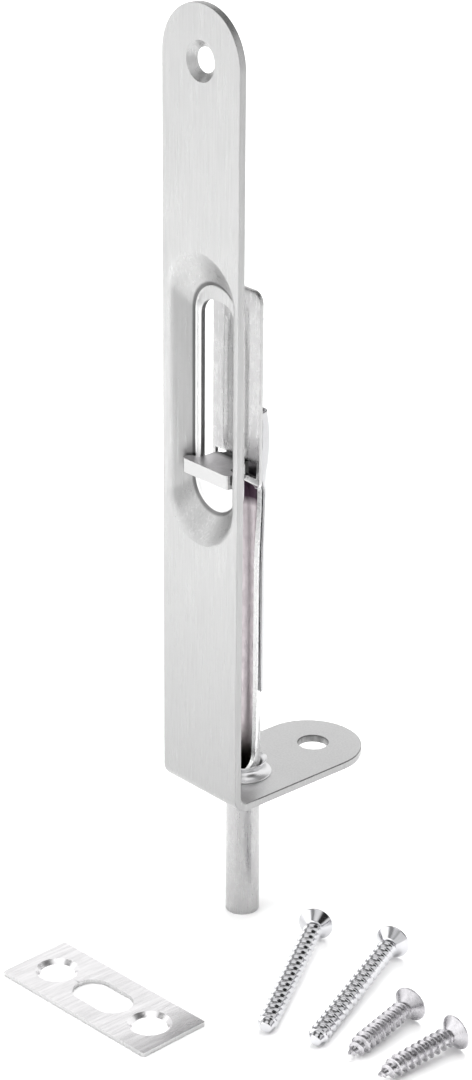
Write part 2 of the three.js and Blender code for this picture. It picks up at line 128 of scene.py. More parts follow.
STRIKE_TURN = math.radians(2.5)
STRIKE_LENGTH, STRIKE_WIDTH, STRIKE_SHEET = 38.0, 15.1, 0.9
STRIKE_CORNER = 0.35
STRIKE_HOLE = {"offset": 12.5, "bore": 3.2, "sink": 4.05, "land": 0.12}
STRIKE_SLOT = {"centre": 2.75, "radius": 3.7}

SCREW_NECK = 2.0
SCREW_HEAD_RADIUS = 3.3
SCREW_RIM, SCREW_RIM_ROUND, SCREW_RIM_LOW, SCREW_FACE_RADIUS = 0.24, 0.16, 0.42, 2.6
RECESS = {"reach": 1.75, "half": 0.34, "floor_reach": 0.95, "floor_half": 0.24, "depth": 1.15}


# ---- small helpers ----
def mix(a, b, t):
    return a + (b - a) * t


def smooth(t):
    t = min(1.0, max(0.0, t))
    return t * t * (3 - 2 * t)


def arc(cx, cy, radius, start, end, steps):
    """Points of an arc, both ends included. Angles are in degrees."""
    angles = [math.radians(mix(start, end, i / steps)) for i in range(steps + 1)]
    return [(cx + radius * math.cos(a), cy + radius * math.sin(a)) for a in angles]


def through(points, steps):
    """A smooth curve through the points."""
    last = len(points) - 1
    curve = [tuple(points[0])]
    for i in range(last):
        near = [points[min(last, max(0, n))] for n in (i - 1, i, i + 1, i + 2)]
        for k in range(1, steps + 1):
            f = k / steps
            curve.append(tuple(
                b + 0.5 * f * (c - a + f * (2 * a - 5 * b + 4 * c - d + f * (3 * b - a - 3 * c + d)))
                for a, b, c, d in zip(*near)
            ))
    return curve


def rounded(corners, cuts, steps=6):
    """A run of points along straight legs whose inner corners are rounded. cuts holds the share of the leg
    before and after each corner that its rounding takes up."""
    run = [corners[0]]
    for before, corner, after, (back, on) in zip(corners, corners[1:], corners[2:], cuts):
        start = [mix(c, b, back) for b, c in zip(before, corner)]
        end = [mix(c, a, on) for c, a in zip(corner, after)]
        for k in range(steps + 1):
            t = k / steps
            run.append(tuple(mix(mix(a, c, t), mix(c, b, t), t) for a, c, b in zip(start, corner, end)))
    return run + [corners[-1]]


def circle(cx, cy, radius, steps):
    return arc(cx, cy, radius, 0, 360, steps)[:-1]


def stadium(radius, low, high, steps=40):
    return arc(0, high, radius, 0, 180, steps) + arc(0, low, radius, 180, 360, steps)


SHARP_ANGLE = math.radians(32)


class Skin:
    """Gathers points and the faces between them into one closed mesh, in millimetres."""

    def __init__(self):
        self.mesh = bmesh.new()
        self.known = {}
        self.finish = 0

    def point(self, x, y, z):
        key = (round(x, 4), round(y, 4), round(z, 4))
        if key not in self.known:
            self.known[key] = self.mesh.verts.new((x, y, z))
        return self.known[key]

    def ring(self, points):
        return [self.point(*p) for p in points]

    def face(self, *corners):
        corners = list(dict.fromkeys(corners))
        if len(corners) > 2 and self.mesh.faces.get(corners) is None:
            self.mesh.faces.new(corners).material_index = self.finish

    def join(self, first, second, closed=True):
        """Faces between two rings that have the same number of points."""
        count = len(first)
        for i in range(count if closed else count - 1):
            j = (i + 1) % count
            self.face(first[i], first[j], second[j], second[i])

    def fill(self, *rings):
        """A flat area inside the first ring and outside the others."""
        edges = []
        for ring in rings:
            for a, b in zip(ring, ring[1:] + ring[:1]):
                if a is not b:
                    edges.append(self.mesh.edges.get((a, b)) or self.mesh.edges.new((a, b)))
        made = bmesh.ops.triangle_fill(self.mesh, use_beauty=True, edges=list(dict.fromkeys(edges)))["geom"]
        for face in made:
            if isinstance(face, bmesh.types.BMFace):
                face.material_index = self.finish

    def make(
        self, name, materials, body, nodes, rounding=0.12, round_over=70, placement=PLACEMENT
    ):
        """Rounds the edges sharper than round_over degrees, and puts the piece in the frame."""
        mesh = self.mesh
        bmesh.ops.recalc_face_normals(mesh, faces=mesh.faces[:])
        if rounding:
            limit = math.radians(round_over)
            edges = [e for e in mesh.edges if e.is_manifold and e.calc_face_angle(0) > limit]
            bmesh.ops.bevel(
                mesh, geom=edges, offset=rounding, offset_type="OFFSET", segments=3,
                profile=0.5, affect="EDGES", clamp_overlap=True,
            )
        for edge in mesh.edges:
            edge.smooth = edge.calc_face_angle(0) < SHARP_ANGLE
        for face in mesh.faces:
            face.smooth = True
        data = bpy.data.meshes.new(name)
        mesh.to_mesh(data)
        mesh.free()
        data.transform(placement)
        for material in materials:
            data.materials.append(material)
        piece = bpy.data.objects.new(name, data)
        bpy.context.scene.collection.objects.link(piece)
        normals = piece.modifiers.new("flat_faces_stay_flat", "WEIGHTED_NORMAL")
        normals.keep_sharp = True
        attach(piece, body)
        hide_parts(*nodes)
        return piece


# ---- face plate ----
def dish_ring(skin, ring):
    radius, low, high, depth = ring
    return skin.ring([(x, depth, z) for x, z in stadium(radius, low, high)])


def slot_outline():
    low, high, half = SLOT_LOW_CORNER, SLOT_HIGH_CORNER, SLOT_HALF
    high_steps, low_steps = 16, 8
    return (
        arc(half - high, SLOT_HIGH - high, high, 0, 90, high_steps)
        + arc(high - half, SLOT_HIGH - high, high, 90, 180, high_steps)
        + arc(low - half, SLOT_LOW + low, low, 180, 270, low_steps)
        + arc(half - low, SLOT_LOW + low, low, 270, 360, low_steps)
    )


def dish_side(skin, back):
    """One side of the pressed dish. Returns its rim ring and its slot ring."""
    run = rounded(DISH_BACK, DISH_BACK_CUTS) if back else rounded(DISH_FRONT, DISH_FRONT_CUTS)
    rings = [dish_ring(skin, ring) for ring in run[1:]]
    for inner, outer in zip(rings, rings[1:]):
        skin.join(inner, outer)
    slot = skin.ring([(x, run[0][3], z) for x, z in slot_outline()])
    skin.fill(rings[0], slot)
    return rings[-1], slot


def make_face_plate(materials):
    skin = Skin()
    bend_steps, across, arc_steps = 12, 8, 48

    def bent(x, s, depth):
        """s runs up the plate from the bend's top. Below 0 it runs round the bend, then along the foot."""
        if s >= 0:
            return (x, depth, BEND_RADIUS + s)
        if s >= -1:
            turn = -s * math.pi / 2
            radius = BEND_RADIUS - depth
            return (x, BEND_RADIUS - radius * math.cos(turn), BEND_RADIUS - radius * math.sin(turn))
        return (x, BEND_RADIUS - s - 1, depth)

    plate_centre = PLATE_TOP - PLATE_HALF - BEND_RADIUS
    foot_centre = -(FOOT_END - PLATE_HALF - BEND_RADIUS) - 1
    top_arc = arc(0, plate_centre, PLATE_HALF, 0, 180, arc_steps)
    foot_arc = arc(0, foot_centre, PLATE_HALF, 180, 360, arc_steps)
    bend = [-k / bend_steps for k in range(bend_steps + 1)]
    outline = (
        top_arc + [(-PLATE_HALF, s) for s in bend]
        + foot_arc + [(PLATE_HALF, s) for s in reversed(bend)]
    )
    sides = {}
    for side, depth in (("front", 0.0), ("back", SHEET)):
        skin.finish = 1 if side == "back" else 0
        sides[side] = skin.ring([bent(x, s, depth) for x, s in outline])
        rows = []
        for s in bend:
            xs = [mix(-PLATE_HALF, PLATE_HALF, m / across) for m in range(across + 1)]
            rows.append(skin.ring([bent(x, s, depth) for x in xs]))
        for upper, lower in zip(rows, rows[1:]):
            skin.join(upper, lower, closed=False)
        rim, slot = dish_side(skin, side == "back")
        hole_radius = TOP_HOLE["sink"] if side == "front" else TOP_HOLE["bore"]
        hole = skin.ring([(x, depth, z) for x, z in circle(0, TOP_HOLE["z"], hole_radius, HOLE_STEPS)])
        top = skin.ring([bent(x, s, depth) for x, s in top_arc])
        skin.fill(top + rows[0], rim, hole)
        bush, foot_hole = (
            skin.ring([(x, y, depth) for x, y in circle(0, centre, radius, HOLE_STEPS)])
            for centre, radius in ((ROD_Y, BUSH_HOLE_RADIUS), (FOOT_HOLE["y"], FOOT_HOLE["radius"]))
        )
        foot = skin.ring([bent(x, s, depth) for x, s in foot_arc])
        skin.fill(foot + rows[-1][::-1], bush, foot_hole)
        sides[side + "_inner"] = (slot, bush, foot_hole, hole)
    skin.finish = 0
    skin.join(sides["front"], sides["back"])
    for finish, first, second in zip((2, 1, 2), sides["front_inner"], sides["back_inner"]):
        skin.finish = finish
        skin.join(first, second)
    skin.finish = 0
    bore = circle(0, TOP_HOLE["z"], TOP_HOLE["bore"], HOLE_STEPS)
    neck = skin.ring([(x, TOP_HOLE["sink_depth"], z) for x, z in bore])
    skin.join(sides["front_inner"][3], neck)
    skin.join(neck, sides["back_inner"][3])
    return skin.make("face_plate_sheet", materials, "case", ["face_plate"], rounding=0.16)


# ---- guide bush ----
def turned(skin, profile, centre_y, steps, wave=None):
    """A closed profile of radius and height pairs, turned round an upright axis."""
    rings = []
    for index, (radius, height) in enumerate(profile):
        points = []
        for x, y in circle(0, 0, 1.0, steps):
            push = wave(index, math.atan2(y, x)) if wave else (0.0, 0.0)
            r = radius + push[0]
            points.append((x * r, centre_y + y * r, height + push[1]))
        rings.append(skin.ring(points))
    for lower, upper in zip(rings, rings[1:] + rings[:1]):
        skin.join(lower, upper)


def make_guide_bush(materials):
    bore, shank, floor = 3.3, 3.85, SHEET + 0.03
    steps, petals, petal_reach, petal_push, petal_rise = 120, 6, 6, 0.12, 0.13
    # Radius and height of points round the section: shank, flange, waist, swaged rim and bore.
    profile = [(bore, 0.0), (shank, 0.0), (shank, floor), (5.2, floor)]
    profile += arc(5.15, floor + 0.16, 0.16, -60, 80, 5)
    profile += [(4.9, 1.93), (4.6, 2.1), (4.3, 2.36), (4.08, 2.66), (3.96, 2.98), (3.94, 3.26)]
    profile += [(4.05, 3.56), (4.22, 3.84), (4.36, 4.04)]
    rim = len(profile)
    profile += arc(4.3, 4.2, 0.12, -20, 150, 4)
    profile += [(4.05, 4.14), (3.8, 3.98), (3.6, 3.8), (3.45, 3.5), (3.36, 3.1), (bore, 2.7)]

    def crimped(index, angle):
        """The swaged rim is a little uneven, with six soft petals."""
        near = max(0.0, 1 - abs(index - rim - 1) / petal_reach)
        ripple = 0.6 * math.cos(petals * angle + 0.4) + 0.4 * math.sin(11 * angle + 1.0)
        return (petal_push * near * ripple, petal_rise * near * math.cos(petals * angle + 1.1))

    skin = Skin()
    turned(skin, profile, ROD_Y, steps, crimped)
    return skin.make("guide_bush_eyelet", materials, "case", ["guide_bush"], rounding=0.0)


# ---- formed sheet: the bolt and its spring ----
def section_point(run, lift, pieces):
    """A point of a bent strip's cross-section. The pieces run outwards from its middle, each a length with
    the curvature it is bent to; lift is the distance from the middle of the sheet towards its back."""
    x = back = turn = 0.0
    left = abs(run)
    for length, curvature in pieces:
        step = min(left, length)
        bend = step * curvature
        if abs(bend) > 1e-6:
            x += (math.sin(turn + bend) - math.sin(turn)) / curvature
            back -= (math.cos(turn) - math.cos(turn + bend)) / curvature
        else:
            x += step * math.cos(turn)
            back -= step * math.sin(turn)
        turn += bend
        left -= step
    return math.copysign(x + lift * math.sin(turn), run), back + lift * math.cos(turn)


def formed_point(station, share, side):
    """share runs across the sheet from -0.5 to 0.5, side from its front (-0.5) to its back (0.5)."""
    half = sum(length for length, _ in station["pieces"])
    x, back = section_point(2 * share * half, side * station["sheet"], station["pieces"])
    depth, edge = station.get("groove", (0.0, 0.0))
    back += depth * smooth((edge - abs(x)) / GROOVE_EDGE)
    height = station["z"]
    top = station.get("round_from")
    if top is not None and height > top:
        inset = abs(x) - (BLADE_HALF - BLADE_CORNER)
        corner = BLADE_CORNER - math.sqrt(max(0.0, BLADE_CORNER**2 - max(0.0, inset) ** 2))
        height -= corner * (height - top) / (BLADE_TOP - top)
    ny, nz = station.get("normal", (1.0, 0.0))
    return (x, station["y"] + back * ny, height + back * nz)


def formed_sheet(skin, stations, shares, window=None):
    """A sheet bent to the stations' shapes. Stations with closed set are whole tubes."""
    grids = {
        side: [[skin.point(*formed_point(s, c, side)) for c in shares] for s in stations]
        for side in (0.5, -0.5)
    }
    outer, inner = grids[0.5], grids[-0.5]
    last = len(shares) - 1

    def is_open(i, j):
        if window is None or not (window["low"] - 1e-6 <= stations[i]["z"] < window["high"] - 1e-6):
            return False
        return abs(shares[j] + shares[j + 1]) * BLADE_HALF < window["half"]

    for i in range(len(stations) - 1):
        for j in range(last):
            if not is_open(i, j):
                for grid in (outer, inner):
                    skin.finish = 1 if grid is inner and stations[i]["curled"] else 0
                    skin.face(grid[i][j], grid[i][j + 1], grid[i + 1][j + 1], grid[i + 1][j])
                skin.finish = 0
                continue
            for column, beside in ((j, j - 1), (j + 1, j + 1)):
                if not is_open(i, beside):
                    skin.face(
                        outer[i][column], outer[i + 1][column], inner[i + 1][column], inner[i][column]
                    )
            for row, beside in ((i, i - 1), (i + 1, i + 1)):
                if not is_open(beside, j):
                    skin.face(outer[row][j], outer[row][j + 1], inner[row][j + 1], inner[row][j])
        whole = stations[i].get("closed") and stations[i + 1].get("closed")
        if not whole:
            for j in (0, last):
                skin.face(outer[i][j], outer[i + 1][j], inner[i + 1][j], inner[i][j])
    for row in (0, -1):
        skin.join(outer[row], inner[row], closed=False)


def bolt_opening(z):
    """Half the angle that the channel's wall covers, from its back, at a height in the scooped mouth."""
    if z <= MOUTH_LOW:
        return math.pi
    u = min(1.0, (z - MOUTH_LOW) / (MOUTH_HIGH - MOUTH_LOW))
    front = mix(ROD_Y - ROD_MIDDLE, MOUTH["front"], 1 - (1 - u) ** MOUTH["curve"])
    front += MOUTH["deeper"] * smooth((z - MOUTH_HIGH) / MOUTH["deeper_over"])
    return math.acos((front - ROD_Y) / ROD_MIDDLE)


def channel_at(z):
    """Shares of the widening and of the opening into the blade at a height, then the radius, the sheet and
    the depth of the sheet's back."""
    wide = smooth((z - CHANNEL["widens"]) / (CHANNEL["widest"] - CHANNEL["widens"]))
    opening = smooth((z - CHANNEL["opens"]) / (CHANNEL["flat"] - CHANNEL["opens"]))
    sheet = mix(ROD_RADIUS - ROD_BORE, BLADE_SHEET, wide)
    back = mix(ROD_Y + ROD_MIDDLE + sheet / 2, BLADE_FRONT + sheet, opening)
    return wide, opening, mix(*CHANNEL_RADIUS, wide), sheet, back


def groove_half(z):
    """Half the width of the shallow groove pressed in the blade, which ends in an arc at its top."""
    rounding = max(0.0, z - GROOVE_ROUNDS) / (BLADE_TOP - GROOVE_ROUNDS)
    return GROOVE_HALF * math.sqrt(max(0.0, 1 - rounding ** 2))


def bolt_station(z):
    wide, opening, radius, sheet, back = channel_at(z)
    run = mix(2 * bolt_opening(z) * ROD_MIDDLE, CHANNEL_RUN, wide)
    return {
        "z": z,
        "y": back - sheet / 2,
        "pieces": [(mix(run, 2 * BLADE_HALF, opening) / 2, (1 - opening) / radius)],
        "sheet": sheet,
        "groove": (GROOVE_DEPTH * smooth((z - GROOVE_START) / GROOVE_RUN_IN), groove_half(z)),
        "closed": z <= MOUTH_LOW,
        "curled": z < CHANNEL["flat"] - 0.5,
        "round_from": BLADE_NARROWS,
    }


def span(start, end, steps):
    return [mix(start, end, (i + 1) / steps) for i in range(steps)]


def make_bolt_bar(materials):
    mouth_steps, columns = 12, 64
    heights = [ROD_TIP] + span(ROD_TIP, MOUTH_LOW, 8)
    heights += [mix(MOUTH_LOW, MOUTH_HIGH, (k / mouth_steps) ** 2) for k in range(1, mouth_steps + 1)]
    # Each further stretch ends at a height, and is cut into a number of rows.
    for end, rows in (
        (20, 9), (CHANNEL["widens"], 8), (CHANNEL["widest"], 12), (WINDOW["low"], 20), (WINDOW["high"], 5),
        (69, 6), (94, 6), (BLADE_NARROWS, 1), (BLADE_TOP, 8),
    ):
        heights += span(heights[-1], end, rows)
    edge = WINDOW["half"] / (2 * BLADE_HALF)
    shares = sorted({round(i / columns - 0.5, 6) for i in range(columns + 1)} | {edge, -edge})
    skin = Skin()
    formed_sheet(skin, [bolt_station(z) for z in heights], shares, WINDOW)
    return skin.make("bolt_bar_formed", materials, "bolt", ["bolt_bar"], rounding=0.14)


def make_leaf_spring(materials):
    columns, bow_steps = 56, 8

    def on_channel(z):
        return channel_at(z)[4] + SPRING_GAP + SPRING_SHEET / 2

    start, widest = CHANNEL["widens"], CHANNEL["widest"]
    heights = [SPRING_FOOT] + span(SPRING_FOOT, start, 6) + span(start, widest - 4, 6)
    line = [(on_channel(z), z) for z in heights]
    line += through([(on_channel(z), z) for z in (widest - 2, widest)] + SPRING_BOW, bow_steps)
    top = line[-1][1]
    stations = []
    for i, (y, z) in enumerate(line):
        before, after = line[max(0, i - 1)], line[min(len(line) - 1, i + 1)]
        dy, dz = after[0] - before[0], after[1] - before[1]
        length = math.hypot(dy, dz)
        _, _, radius, sheet, _ = channel_at(min(z, widest))
        hug = 1 / (radius + sheet / 2 + SPRING_GAP + SPRING_SHEET / 2)
        free = smooth((z - CHANNEL["opens"]) / SPRING_OPENS)
        side = mix(SPRING_SIDES["low"], SPRING_SIDES["middle"], free)
        stations.append({
            "y": y, "z": z, "curled": True, "sheet": SPRING_SHEET,
            "normal": (dz / length, -dy / length),
            "pieces": [
                (SPRING_BACK_HALF, mix(hug, 0.0, free)),
                (SPRING_CORNER * math.pi / 2, mix(hug, 1 / SPRING_CORNER, free)),
                (mix(side, SPRING_SIDES["top"], smooth((z - top) / SPRING_OPENS + 1)), mix(hug, 0.0, free)),
            ],
        })
    skin = Skin()
    formed_sheet(skin, stations, [i / columns - 0.5 for i in range(columns + 1)])
    return skin.make("leaf_spring_strip", materials, "bolt", ["leaf_spring"], rounding=0.1)


# ---- thumb tab ----
def make_thumb_tab(materials):
    inset, neck, turned_in = TAB_HALF - TAB_CORNER, TAB_NECK["half"], 62
    half = (
        [(0.0, TAB_FRONT)] + arc(inset, TAB_FRONT + TAB_CORNER, TAB_CORNER, -90, 0, 6)
        + [(TAB_HALF, TAB_SIDE_BACK), (TAB_HALF - TAB_BEVEL, TAB_WING_BACK)]
        + [(neck, TAB_NECK["front"]), (neck, TAB_NECK["back"])]
        + arc(neck - TAB_NECK["corner"], TAB_NECK["back"], TAB_NECK["corner"], 0, turned_in, 8)
        + [(TAB_TENON["half"], TAB_TENON["front"]), (TAB_TENON["half"], TAB_TENON["back"])]
    )
    outline = half + [(-x, y) for x, y in reversed(half[1:])]
    skin = Skin()
    low = skin.ring([(x, y, TAB_LOW) for x, y in outline])
    high = skin.ring([(x, y, TAB_HIGH) for x, y in outline])
    skin.join(low, high)
    skin.finish = 1
    skin.fill(low)
    skin.fill(high)
    return skin.make(
        "thumb_tab_plate", materials, "bolt", ["thumb_tab"], rounding=0.2, round_over=60
    )


# ---- strike plate ----
def make_strike_plate(materials):
    low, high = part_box("strike_plate")
    centre = (low + high) / 2
    turn = Matrix.Rotation(STRIKE_TURN, 4, "Z")
    placement = Matrix.Translation((centre.x, centre.y, low.z)) @ turn @ Matrix.Scale(MM, 4)
    half_x, half_y, corner = STRIKE_LENGTH / 2, STRIKE_WIDTH / 2, STRIKE_CORNER
    outline = []
    for cx, cy, start in ((1, 1, 0), (-1, 1, 90), (-1, -1, 180), (1, -1, 270)):
        outline += arc(cx * (half_x - corner), cy * (half_y - corner), corner, start, start + 90, 5)
    centre_x, radius, slot_steps = STRIKE_SLOT["centre"], STRIKE_SLOT["radius"], 32
    slot = arc(centre_x, 0, radius, -90, 90, slot_steps) + arc(-centre_x, 0, radius, 90, 270, slot_steps)
    offset, bore = STRIKE_HOLE["offset"], STRIKE_HOLE["bore"]
    skin = Skin()
    rings = {}
    for height, sink in ((0.0, bore), (STRIKE_SHEET, STRIKE_HOLE["sink"])):
        edge = skin.ring([(x, y, height) for x, y in outline])
        opening = skin.ring([(x, y, height) for x, y in slot])
        holes = [
            skin.ring([(x, y, height) for x, y in circle(side * offset, 0, sink, HOLE_STEPS)])
            for side in (-1, 1)
        ]
        skin.fill(edge, opening, *holes)
        rings[height] = [edge, opening, *holes]
    under, over = rings[0.0], rings[STRIKE_SHEET]
    skin.finish = 1
    for index in (0, 1):
        skin.join(under[index], over[index])
    skin.finish = 0
    for index, side in ((2, -1), (3, 1)):
        wall = circle(side * offset, 0, bore, HOLE_STEPS)
        neck = skin.ring([(x, y, STRIKE_HOLE["land"]) for x, y in wall])
        skin.join(under[index], neck)
        skin.join(neck, over[index])
    return skin.make(
        "strike_plate_sheet", materials, "strike_plate", ["strike_plate"],
        placement=placement,
    )


# ---- screws ----
def screw_axis(node):
    """Centre of the head's top, direction to the point, and length in mm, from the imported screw."""
    points = np.array([v.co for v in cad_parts[node].data.vertices])
    middle = points.mean(0)
    axis = np.linalg.svd(points - middle, full_matrices=False)[2][0]
    along = (points - middle) @ axis
    away = np.linalg.norm(points - middle - np.outer(along, axis), axis=1)
    if along[away.argmax()] > 0:
        axis, along = -axis, -along
    head = Vector(middle + axis * along.min())
    return head, Vector(axis), (along.max() - along.min()) / MM


def cross_outline(reach, half):
    """A cross with four arms. The corners between them stand out a little from the arms' width."""
    corners, middle = [], half * 1.25
    for turn in range(4):
        for x, y in ((reach, -half), (reach, half), (middle, middle)):
            a = turn * math.pi / 2
            corners.append((x * math.cos(a) - y * math.sin(a), x * math.sin(a) + y * math.cos(a)))
    return corners


def make_screw(node, materials, style):
    """A countersunk screw with a helical thread. In its own frame it points down from its head's top."""
    head, axis, end = screw_axis(node)
    steps, neck, run_out = 48, SCREW_NECK, 0.7
    root, crest, pitch = style["root"], style["crest"], style["pitch"]
    turns = int((end - neck) / pitch) + 2

    def taper(depth):
        left = min(1.0, max(0.0, (end - depth) / style["taper"]))
        return left ** style["sharpness"]

    def radius_at(depth, ridge):
        share = taper(depth)
        core = mix(style["tip"], root, share)
        faded = min(1.0, (end - depth) / style["fade"]) * smooth((depth - neck) / run_out)
        return core + max(0.0, (crest - root) * faded) * ridge

    skin = Skin()
    rows = []
    for turn in range(turns + 1):
        for phase, ridge in RIDGE:
            row = []
            for k in range(steps):
                depth = (turn + phase - k / steps) * pitch + neck
                depth = min(end, max(neck, depth))
                angle = 2 * math.pi * k / steps
                r = radius_at(depth, ridge)
                row.append(skin.point(r * math.cos(angle), r * math.sin(angle), -depth))
            rows.append(row)
    shift = len(RIDGE)
    for i, (upper, lower) in enumerate(zip(rows, rows[1:])):
        for k in range(steps - 1):
            skin.face(upper[k], upper[k + 1], lower[k + 1], lower[k])
        if i >= shift:
            above, below = rows[i - shift], rows[i - shift + 1]
            skin.face(upper[-1], above[0], below[0], lower[-1])
    point = skin.ring([(style["tip"] * x, style["tip"] * y, -end) for x, y in circle(0, 0, 1, steps)])
    skin.fill(point)

    # The head: a small fillet at the neck, the cone, and a rounded rim.
    profile = [(root, -neck), (root + 0.12, -neck + 0.06), (root + 0.3, -neck + 0.2)]
    profile += [(SCREW_HEAD_RADIUS - 0.12, -SCREW_RIM_LOW)]
    profile += arc(SCREW_HEAD_RADIUS - SCREW_RIM_ROUND, -SCREW_RIM, SCREW_RIM_ROUND, -45, 90, 6)
    rings = [skin.ring([(x * r, y * r, z) for x, y in circle(0, 0, 1, steps)]) for r, z in profile]
    for lower, upper in zip(rings, rings[1:]):
        skin.join(lower, upper)
    face = SCREW_FACE_RADIUS
    top = skin.ring([(x * face, y * face, 0.0) for x, y in circle(0, 0, 1, steps)])
    skin.join(rings[-1], top)
    mouth = skin.ring([(x, y, 0.0) for x, y in cross_outline(RECESS["reach"], RECESS["half"])])
    recess_floor = cross_outline(RECESS["floor_reach"], RECESS["floor_half"])
    floor = skin.ring([(x, y, -RECESS["depth"]) for x, y in recess_floor])
    skin.fill(top, mouth)
    skin.join(mouth, floor)
    skin.fill(floor)

    turn = Vector((0, 0, -1)).rotation_difference(axis).to_matrix().to_4x4()
    placement = Matrix.Translation(head) @ turn @ Matrix.Scale(MM, 4)
    return skin.make(
        node + "_threaded", materials, node, [node], rounding=0.0, placement=placement
    )


# ---- finishes ----
# Where most of the sum of two noises lies.
SUM_RANGE = (0.8, 1.2)


class Finish:
    """A metal whose colour, roughness and relief come from patterns fixed to the piece."""

    def __init__(self, name, colour, roughness):
        self.material = bpy.data.materials.new(name)
        self.material.use_nodes = True
        self.tree = self.material.node_tree
        self.shader = self.tree.nodes["Principled BSDF"]
        self.shader.inputs["Metallic"].default_value = 1.0
        self.shader.inputs["Base Color"].default_value = (*colour, 1.0)
        self.shader.inputs["Roughness"].default_value = roughness
        self.colour = colour
        self.roughness = roughness
        self.place = self.tree.nodes.new("ShaderNodeTexCoord").outputs["Object"]
        self.relief = None

    def node(self, kind, **settings):
        node = self.tree.nodes.new(kind)
        for key, value in settings.items():
            setattr(node, key, value)
        return node

    def link(self, source, target):
        self.tree.links.new(source, target)

    def noise(self, size, detail, rough=0.5):
        """Noise whose grain has the given size in mm along X, Y and Z."""
        mapping = self.node("ShaderNodeMapping")
        mapping.inputs["Scale"].default_value = [1 / (s * MM) for s in size]
        self.link(self.place, mapping.inputs["Vector"])
        noise = self.node("ShaderNodeTexNoise")
        noise.inputs["Scale"].default_value = 1.0
        noise.inputs["Detail"].default_value = detail
        noise.inputs["Roughness"].default_value = rough
        self.link(mapping.outputs["Vector"], noise.inputs["Vector"])
        return noise.outputs["Fac"]

    def spread(self, source, low, high, start=0.3, end=0.7):
        node = self.node("ShaderNodeMapRange")
        for key, value in (("From Min", start), ("From Max", end), ("To Min", low), ("To Max", high)):
            node.inputs[key].default_value = value
        self.link(source, node.inputs["Value"])
        return node.outputs["Result"]

    def product(self, a, b, operation="MULTIPLY"):
        node = self.node("ShaderNodeMath", operation=operation)
        self.link(a, node.inputs[0])
        if isinstance(b, float):
            node.inputs[1].default_value = b
        else:
            self.link(b, node.inputs[1])
        return node.outputs["Value"]

    def tint(self, share, other):
        """Blends the base colour towards another one where share is high."""
        node = self.node("ShaderNodeMix", data_type="RGBA")
        socket = self.shader.inputs["Base Color"]
        if socket.is_linked:
            self.link(socket.links[0].from_socket, node.inputs["A"])
        else:
            node.inputs["A"].default_value = (*self.colour, 1.0)
        node.inputs["B"].default_value = (*other, 1.0)
        self.link(share, node.inputs["Factor"])
        self.link(node.outputs["Result"], socket)

    def across(self, axis, start, end, both_sides=False):
        """Rises from 0 at start to 1 at end, along an axis of the frame, in metres."""
        split = self.node("ShaderNodeSeparateXYZ")
        self.link(self.place, split.inputs[0])
        place = split.outputs[axis]
        if both_sides:
            place = self.product(place, 0.0, "ABSOLUTE")
        return self.spread(place, 0.0, 1.0, start, end)

    def between(self, first, second):
        """Where both shares are high."""
        return self.product(first, second)

    def set_roughness(self, source):
        self.link(source, self.shader.inputs["Roughness"])

    def bump(self, height, depth):
        """Adds relief. depth is in mm."""
        node = self.node("ShaderNodeBump")
        node.inputs["Distance"].default_value = depth * MM
        self.link(height, node.inputs["Height"])
        if self.relief:
            self.link(self.relief, node.inputs["Normal"])
        self.relief = node.outputs["Normal"]
        self.link(self.relief, self.shader.inputs["Normal"])

    def pale_sharp_edges(self, other):
        # Gives the sharpest convex edges another colour; rolled sheet makes them paler.
        sharp, sharpest = 0.52, 0.58
        pointiness = self.node("ShaderNodeNewGeometry").outputs["Pointiness"]
        self.tint(self.spread(pointiness, 0.0, 1.0, sharp, sharpest), other)


def times(colour, factor):
    return [min(1.0, c * factor) for c in colour]


def brushed(name, colour, roughness, grain, relief, streak=0.86):
    """Satin steel. grain is the size in mm of one scratch along X, Y and Z, relief its depth in mm, and
    streak the share of the colour that is left in the darkest scratches."""
    coarser, cloud_size, cloud_tone = 3.1, (9, 9, 14), 1.06
    finish = Finish(name, colour, roughness)
    fine = finish.noise(grain, detail=4.0, rough=0.6)
    coarse = finish.noise([g * coarser for g in grain], detail=2.0)
    cloud = finish.noise(cloud_size, detail=2.0)
    both = finish.product(fine, coarse, "ADD")
    finish.set_roughness(finish.spread(both, roughness - 0.07, roughness + 0.09, *SUM_RANGE))
    finish.tint(finish.spread(coarse, 0.0, 0.5), times(colour, streak))
    finish.tint(finish.spread(cloud, 0.0, 0.35), times(colour, cloud_tone))
    finish.bump(both, relief)
    return finish


def rolled(name, colour, roughness, blotch, relief=0.02):
    """Plain mill-finished sheet, with soft blotches and small pits. relief is the pits' depth in mm."""
    mottle_size, cloud_size, draw_size = (1.1, 1.1, 1.6), (4, 4, 9), (0.2, 0.2, 7)
    finish = Finish(name, colour, roughness)
    mottle = finish.noise(mottle_size, detail=4.0, rough=0.62)
    cloud = finish.noise(cloud_size, detail=2.0)
    draw = finish.noise(draw_size, detail=2.0)
    finish.tint(finish.spread(mottle, 0.0, 0.6), blotch)
    finish.tint(finish.spread(cloud, 0.0, 0.3), times(colour, 0.85))
    both = finish.product(mottle, draw, "ADD")
    finish.set_roughness(finish.spread(both, roughness - 0.06, roughness + 0.1, *SUM_RANGE))
    finish.bump(mottle, relief)
    finish.bump(draw, relief * 0.4)
    finish.pale_sharp_edges(times(colour, 1.1))
    return finish


def polished(name, colour, roughness, relief=0.004):
    """Bright steel or zinc, with faint waviness and hairline marks. relief is the marks' depth in mm."""
    wave_size, mark_size = (1.6, 1.6, 1.6), (0.09, 1.5, 0.09)
    finish = Finish(name, colour, roughness)
    wave = finish.noise(wave_size, detail=1.0)
    marks = finish.noise(mark_size, detail=2.0)
    finish.tint(finish.spread(wave, 0.0, 0.4), times(colour, 0.92))
    finish.set_roughness(finish.spread(marks, roughness - 0.03, roughness + 0.05))
    finish.bump(wave, relief * 6)
    finish.bump(marks, relief)
    return finish


# ---- the pieces' materials ----
def frame_y(depth):
    return plate_low.y + depth * MM


def frame_z(height):
    return plate_low.z + height * MM


def grey(level):
    return (level, level, level)


